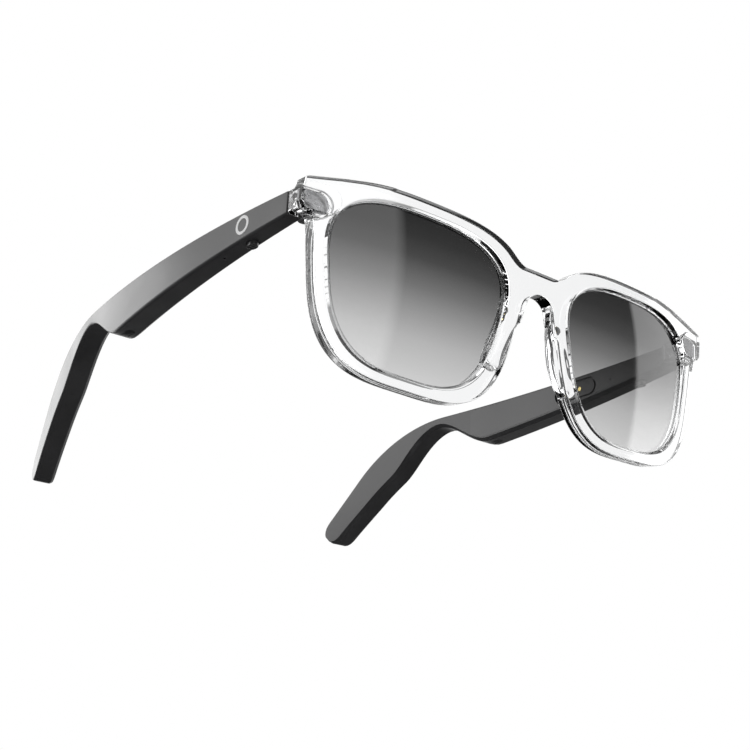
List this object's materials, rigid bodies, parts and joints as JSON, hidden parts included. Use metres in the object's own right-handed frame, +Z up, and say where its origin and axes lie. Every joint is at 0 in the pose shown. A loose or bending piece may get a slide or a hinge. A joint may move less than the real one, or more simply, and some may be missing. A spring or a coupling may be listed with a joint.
{
  "type": "smart glasses",
  "caption": "Smart glasses with a clear squared front, graduated grey lenses and folding graphite temples with open-ear sound, a button and charging contacts.",
  "frame": {"origin": "centre of the bounding box in plan, on the surface the glasses stand on with the temples open", "axes": "+X to the viewer's right seen from the front (the wearer's left), +Y from the front towards the ears, +Z up"},
  "size_m": [0.1534, 0.174, 0.0511],
  "materials": {
    "clear_frame": "polished clear plastic",
    "tinted_lens": "grey gradient, dark above and pale below",
    "clear_pad": "polished clear plastic",
    "hinge_metal": "satin",
    "screw_metal": "turned",
    "graphite_shell": "satin graphite, finely textured",
    "graphite_cover": "satin graphite, finely textured",
    "contact_insulator": "fine matte",
    "contact_gold": "polished gold plate",
    "battery_foil": "foil pouch",
    "board_laminate": "solder resist",
    "chip_resin": "moulded resin",
    "speaker_case": "moulded",
    "mesh_metal": "blackened perforated sheet",
    "microphone_can": "plated can",
    "button_plastic": "ribbed satin",
    "switch_metal": "stamped",
    "light_pipe": "clear",
    "mark_ink": "printed white"
  },
  "bodies": {
    "front": {"front_frame": "clear_frame", "lens_right": "tinted_lens", "lens_left": "tinted_lens", "nose_pad_right": "clear_pad", "nose_pad_left": "clear_pad", "hinge_front_leaf_right": "hinge_metal", "hinge_front_leaf_left": "hinge_metal", "hinge_pin_right": "screw_metal", "hinge_pin_left": "screw_metal"},
    "temple_right": {"hinge_temple_leaf_right": "hinge_metal", "leaf_screws_right": "screw_metal", "temple_shell_right": "graphite_shell", "temple_cover_right": "graphite_cover", "cover_screw_right": "screw_metal", "contact_plate_right": "contact_insulator", "contact_pins_right": "contact_gold", "battery_right": "battery_foil", "circuit_board_right": "board_laminate", "board_chips_right": "chip_resin", "speaker_right": "speaker_case", "speaker_mesh_right": "mesh_metal", "microphone_right": "microphone_can", "button_switch_right": "switch_metal", "status_light_right": "light_pipe", "emblem_right": "mark_ink"},
    "temple_left": {"hinge_temple_leaf_left": "hinge_metal", "leaf_screws_left": "screw_metal", "temple_shell_left": "graphite_shell", "temple_cover_left": "graphite_cover", "cover_screw_left": "screw_metal", "contact_plate_left": "contact_insulator", "contact_pins_left": "contact_gold", "battery_left": "battery_foil", "circuit_board_left": "board_laminate", "board_chips_left": "chip_resin", "speaker_left": "speaker_case", "speaker_mesh_left": "mesh_metal", "microphone_left": "microphone_can", "button_switch_left": "switch_metal", "status_light_left": "light_pipe", "emblem_left": "mark_ink"},
    "button_right": {"button_right": "button_plastic"},
    "button_left": {"button_left": "button_plastic"}
  },
  "joints": [
    {"name": "fold_left", "type": "hinge", "parent": "front", "child": "temple_left", "pos_m": [0.0669, -0.07219, 0.04184], "axis": [-0.0698, 0.0277, 0.9972], "range_deg": [0, 87]},
    {"name": "fold_right", "type": "hinge", "parent": "front", "child": "temple_right", "pos_m": [-0.0669, -0.07219, 0.04184], "axis": [-0.0698, -0.0277, -0.9972], "range_deg": [0, 62]},
    {"name": "press_left", "type": "slide", "parent": "temple_left", "child": "button_left", "axis": [0, 0.0278, 0.9996], "range_m": [0, 0.0004], "stiffness_N_per_m": 1200, "springref_m": -0.0002},
    {"name": "press_right", "type": "slide", "parent": "temple_right", "child": "button_right", "axis": [0, 0.0278, 0.9996], "range_m": [0, 0.0004], "stiffness_N_per_m": 1200, "springref_m": -0.0002}
  ]
}
